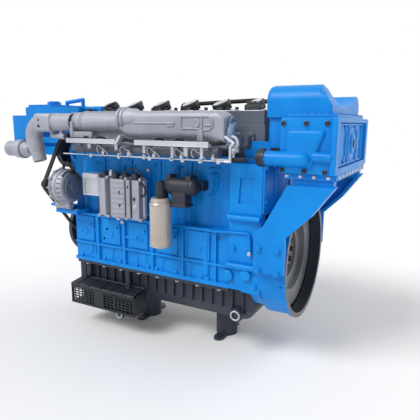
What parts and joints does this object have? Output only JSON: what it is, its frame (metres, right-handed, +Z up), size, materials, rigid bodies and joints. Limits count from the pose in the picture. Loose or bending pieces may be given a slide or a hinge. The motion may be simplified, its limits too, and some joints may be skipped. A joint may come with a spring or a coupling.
{
  "type": "marine diesel engine",
  "caption": "Inline marine diesel engine with charge air cooler over the flywheel housing, front expansion tank, belt drive, oil pan and support posts.",
  "frame": {"origin": "on the crank axis, at the rear face of the flywheel housing", "axes": "+X along the crank axis towards the flywheel end, +Z up, -Y the service side with the fuel filter and control unit"},
  "size_m": [1.866, 0.825, 1.179],
  "materials": {
    "engine_paint": "semi-gloss blue engine enamel",
    "cast_aluminium": "as-cast, sandblasted",
    "zinc_steel": "zinc plated",
    "head_iron": "bare cast iron",
    "machined_steel": "machined, oiled",
    "black_enamel": "satin black enamel",
    "black_rubber": "matte",
    "black_plastic": "fine grain",
    "filter_paint": "gloss grey-beige lacquer",
    "capped_blue": "blue-grey enamel",
    "pump_bronze": "cast bronze",
    "piston_alloy": "machined"
  },
  "bodies": {
    "engine": {"cylinder_block": "engine_paint", "cylinder_liners": "machined_steel", "main_bearing_caps": "head_iron", "gear_case": "engine_paint", "flywheel_housing": "engine_paint", "front_cover": "engine_paint", "oil_pan": "black_enamel", "pan_bolts": "zinc_steel", "cylinder_head": "head_iron", "rocker_cover": "head_iron", "cover_fittings": "black_plastic", "intake_manifold": "cast_aluminium", "manifold_end_cap": "capped_blue", "front_elbow": "cast_aluminium", "wiring_tray": "zinc_steel", "fuel_rail": "head_iron", "leak_off_pipes": "zinc_steel", "control_unit": "cast_aluminium", "control_unit_frame": "zinc_steel", "control_unit_plugs": "black_plastic", "alternator": "cast_aluminium", "alternator_bracket": "engine_paint", "drive_belt": "black_rubber", "water_pump": "engine_paint", "expansion_tank": "engine_paint", "tank_frame": "engine_paint", "heat_exchanger": "cast_aluminium", "filter_head": "black_plastic", "fuel_filter": "filter_paint", "breather_separator": "black_plastic", "lower_guard": "black_enamel", "charge_air_cooler": "engine_paint", "cooler_covers": "engine_paint", "cooler_duct": "engine_paint", "cooler_brackets": "engine_paint", "cooler_bolts": "engine_paint", "hose_clamps": "black_enamel", "hoses": "black_rubber", "exhaust_manifold": "head_iron", "turbo_housing": "head_iron", "starter_motor": "black_enamel", "oil_filters": "filter_paint", "sea_water_pump": "pump_bronze", "support_posts": "black_enamel"},
    "crank": {"crankshaft": "machined_steel", "flywheel": "machined_steel", "ring_gear": "head_iron", "crank_damper": "black_enamel"},
    "idler": {"idler_gear": "machined_steel"},
    "cam": {"camshaft": "machined_steel"},
    "pistons_1_6": {"outer_pistons": "piston_alloy"},
    "pistons_2_5": {"middle_pistons": "piston_alloy"},
    "pistons_3_4": {"inner_pistons": "piston_alloy"},
    "alternator_rotor": {"alternator_pulley": "black_enamel"},
    "water_pump_rotor": {"water_pump_pulley": "black_enamel"},
    "sea_pump_rotor": {"sea_pump_pulley": "black_enamel"},
    "turbo_shaft": {"turbo_rotor": "machined_steel"},
    "starter_drive": {"starter_pinion": "machined_steel"},
    "cap": {"filler_cap": "engine_paint"},
    "oil_dipstick": {"dipstick": "machined_steel"}
  },
  "joints": [
    {"name": "crank_spin", "type": "hinge", "parent": "engine", "child": "crank", "pos_m": [0, 0, 0], "axis": [1, 0, 0], "continuous": true},
    {"name": "idler_spin", "type": "hinge", "parent": "engine", "child": "idler", "pos_m": [0, 0, 0.133], "axis": [1, 0, 0], "continuous": true},
    {"name": "cam_spin", "type": "hinge", "parent": "engine", "child": "cam", "pos_m": [0, -0.118, 0.28064], "axis": [1, 0, 0], "continuous": true},
    {"name": "alternator_spin", "type": "hinge", "parent": "engine", "child": "alternator_rotor", "pos_m": [0, -0.3, 0.267], "axis": [1, 0, 0], "continuous": true},
    {"name": "water_pump_spin", "type": "hinge", "parent": "engine", "child": "water_pump_rotor", "pos_m": [0, -0.15, 0.43], "axis": [1, 0, 0], "continuous": true},
    {"name": "sea_pump_spin", "type": "hinge", "parent": "engine", "child": "sea_pump_rotor", "pos_m": [0, 0.17, 0.165], "axis": [1, 0, 0], "continuous": true},
    {"name": "turbo_spin", "type": "hinge", "parent": "engine", "child": "turbo_shaft", "pos_m": [0, 0.364, 0.51], "axis": [1, 0, 0], "continuous": true},
    {"name": "piston_1_6_stroke", "type": "slide", "parent": "engine", "child": "pistons_1_6", "axis": [0, 0, 1], "range_m": [-0.16, 0]},
    {"name": "piston_2_5_stroke", "type": "slide", "parent": "engine", "child": "pistons_2_5", "axis": [0, 0, 1], "range_m": [-0.0308, 0.1291]},
    {"name": "piston_3_4_stroke", "type": "slide", "parent": "engine", "child": "pistons_3_4", "axis": [0, 0, 1], "range_m": [-0.0308, 0.1291]},
    {"name": "starter_engage", "type": "slide", "parent": "engine", "child": "starter_drive", "axis": [1, 0, 0], "range_m": [0, 0.022]},
    {"name": "filler_cap_turn", "type": "hinge", "parent": "engine", "child": "cap", "pos_m": [-1.45, -0.06, 0.68], "axis": [0, 0, 1], "range_deg": [0, 90]},
    {"name": "dipstick_pull", "type": "slide", "parent": "engine", "child": "oil_dipstick", "axis": [0, 0.2873, 0.9578], "range_m": [0, 0.25]}
  ],
  "couplings": [
    {"joint": "idler_spin", "follows": "crank_spin", "ratio": -0.72727},
    {"joint": "cam_spin", "follows": "crank_spin", "ratio": 0.5},
    {"joint": "alternator_spin", "follows": "crank_spin", "ratio": 3.0882},
    {"joint": "water_pump_spin", "follows": "crank_spin", "ratio": 1.25},
    {"joint": "sea_pump_spin", "follows": "crank_spin", "ratio": 1.6935}
  ]
}
